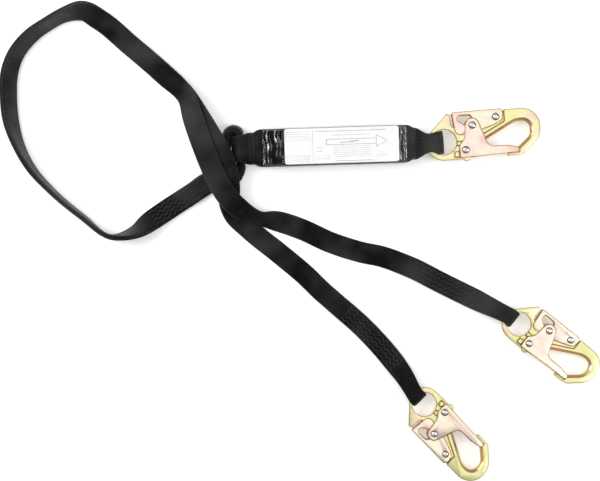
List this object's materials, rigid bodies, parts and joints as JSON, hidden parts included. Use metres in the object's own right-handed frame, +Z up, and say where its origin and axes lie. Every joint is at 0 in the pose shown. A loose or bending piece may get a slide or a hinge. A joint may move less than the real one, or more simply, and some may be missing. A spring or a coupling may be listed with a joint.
{
  "type": "shock absorbing lanyard",
  "caption": "Twin-leg shock absorbing lanyard with black webbing legs, a clear-wrapped energy absorber pack and double-locking snap hooks.",
  "frame": {"origin": "centre of the energy absorber pack's underside", "axes": "+X along the pack towards its harness hook, +Z up from the floor the lanyard lies on"},
  "size_m": [0.7134, 0.5718, 0.0337],
  "materials": {
    "zinc_plate": "yellow zinc dichromate plating with pinkish iridescence",
    "rivet_steel": "polished rivet heads",
    "spring_steel": "satin spring wire",
    "webbing": "black ribbed polyester webbing",
    "thread": "black sewing thread",
    "clear_cover": "clear shrink film",
    "label_card": "matt white label with grey rules"
  },
  "bodies": {
    "legs": {"legs_webbing": "webbing", "yoke_stitching": "thread"},
    "pack": {"pack_shrink_cover": "clear_cover", "pack_label": "label_card", "backup_web": "webbing", "tear_web": "webbing", "pack_leg_loop": "webbing", "pack_harness_loop": "webbing", "harness_loop_stitching": "thread"},
    "leg_a_eye": {"leg_a_eye_webbing": "webbing", "leg_a_eye_stitching": "thread"},
    "leg_b_eye": {"leg_b_eye_webbing": "webbing", "leg_b_eye_stitching": "thread"},
    "harness_hook": {"harness_hook_body": "zinc_plate", "harness_gate_pivot_rivet": "rivet_steel", "harness_lever_pivot_rivet": "rivet_steel", "harness_gate_spring": "spring_steel", "harness_lock_spring": "spring_steel"},
    "harness_gate": {"harness_hook_gate": "zinc_plate", "harness_latch_rivet": "rivet_steel"},
    "harness_lever": {"harness_hook_lock_lever": "zinc_plate"},
    "leg_a_hook": {"leg_a_hook_body": "zinc_plate", "leg_a_gate_pivot_rivet": "rivet_steel", "leg_a_lever_pivot_rivet": "rivet_steel", "leg_a_gate_spring": "spring_steel", "leg_a_lock_spring": "spring_steel"},
    "leg_a_gate": {"leg_a_hook_gate": "zinc_plate", "leg_a_latch_rivet": "rivet_steel"},
    "leg_a_lever": {"leg_a_hook_lock_lever": "zinc_plate"},
    "leg_b_hook": {"leg_b_hook_body": "zinc_plate", "leg_b_gate_pivot_rivet": "rivet_steel", "leg_b_lever_pivot_rivet": "rivet_steel", "leg_b_gate_spring": "spring_steel", "leg_b_lock_spring": "spring_steel"},
    "leg_b_gate": {"leg_b_hook_gate": "zinc_plate", "leg_b_latch_rivet": "rivet_steel"},
    "leg_b_lever": {"leg_b_hook_lock_lever": "zinc_plate"}
  },
  "joints": [
    {"name": "pack_swing", "type": "hinge", "parent": "legs", "child": "pack", "pos_m": [-0.11195, -0.00352, 0.0112], "axis": [0.0314, -0.9995, 0], "range_deg": [0, 30]},
    {"name": "leg_a_flex", "type": "hinge", "parent": "legs", "child": "leg_a_eye", "pos_m": [0.0696, -0.1354, 0.0018], "axis": [-0.309, -0.9511, 0], "range_deg": [0, 80]},
    {"name": "leg_b_flex", "type": "hinge", "parent": "legs", "child": "leg_b_eye", "pos_m": [-0.0048, -0.1816, 0.0018], "axis": [-0.6561, -0.7547, 0], "range_deg": [0, 80]},
    {"name": "harness_hook_swing", "type": "hinge", "parent": "pack", "child": "harness_hook", "pos_m": [0.11414, 0.00361, 0.0107], "axis": [0.0785, -0.9969, 0], "range_deg": [0, 110]},
    {"name": "harness_gate_swing", "type": "hinge", "parent": "harness_hook", "child": "harness_gate", "pos_m": [0.15612, -0.00442, 0.0107], "axis": [0, 0, 1], "range_deg": [0, 25], "deforming": ["harness_gate_spring"]},
    {"name": "harness_lock_press", "type": "hinge", "parent": "harness_hook", "child": "harness_lever", "pos_m": [0.19178, 0.03514, 0.0107], "axis": [0, 0, 1], "range_deg": [0, 10], "deforming": ["harness_lock_spring"]},
    {"name": "leg_a_hook_swing", "type": "hinge", "parent": "leg_a_eye", "child": "leg_a_hook", "pos_m": [0.20805, -0.20205, 0.0101], "axis": [-0.6293, -0.7771, 0], "range_deg": [0, 110]},
    {"name": "leg_a_gate_swing", "type": "hinge", "parent": "leg_a_hook", "child": "leg_a_gate", "pos_m": [0.23146, -0.23464, 0.0101], "axis": [0, 0, 1], "range_deg": [0, 25], "deforming": ["leg_a_gate_spring"]},
    {"name": "leg_a_lock_press", "type": "hinge", "parent": "leg_a_hook", "child": "leg_a_lever", "pos_m": [0.28132, -0.23075, 0.0101], "axis": [0, 0, 1], "range_deg": [0, 10], "deforming": ["leg_a_lock_spring"]},
    {"name": "leg_b_hook_swing", "type": "hinge", "parent": "leg_b_eye", "child": "leg_b_hook", "pos_m": [0.09652, -0.29646, 0.0101], "axis": [-0.712, -0.7022, 0], "range_deg": [0, 110]},
    {"name": "leg_b_gate_swing", "type": "hinge", "parent": "leg_b_hook", "child": "leg_b_gate", "pos_m": [0.13124, -0.31658, 0.0101], "axis": [0, 0, -1], "range_deg": [0, 25], "deforming": ["leg_b_gate_spring"]},
    {"name": "leg_b_lock_press", "type": "hinge", "parent": "leg_b_hook", "child": "leg_b_lever", "pos_m": [0.13223, -0.36658, 0.0101], "axis": [0, 0, -1], "range_deg": [0, 10], "deforming": ["leg_b_lock_spring"]}
  ],
  "couplings": [
    {"joint": "harness_lock_press", "follows": "harness_gate_swing", "ratio": 0.4},
    {"joint": "leg_a_lock_press", "follows": "leg_a_gate_swing", "ratio": 0.4},
    {"joint": "leg_b_lock_press", "follows": "leg_b_gate_swing", "ratio": 0.4}
  ]
}
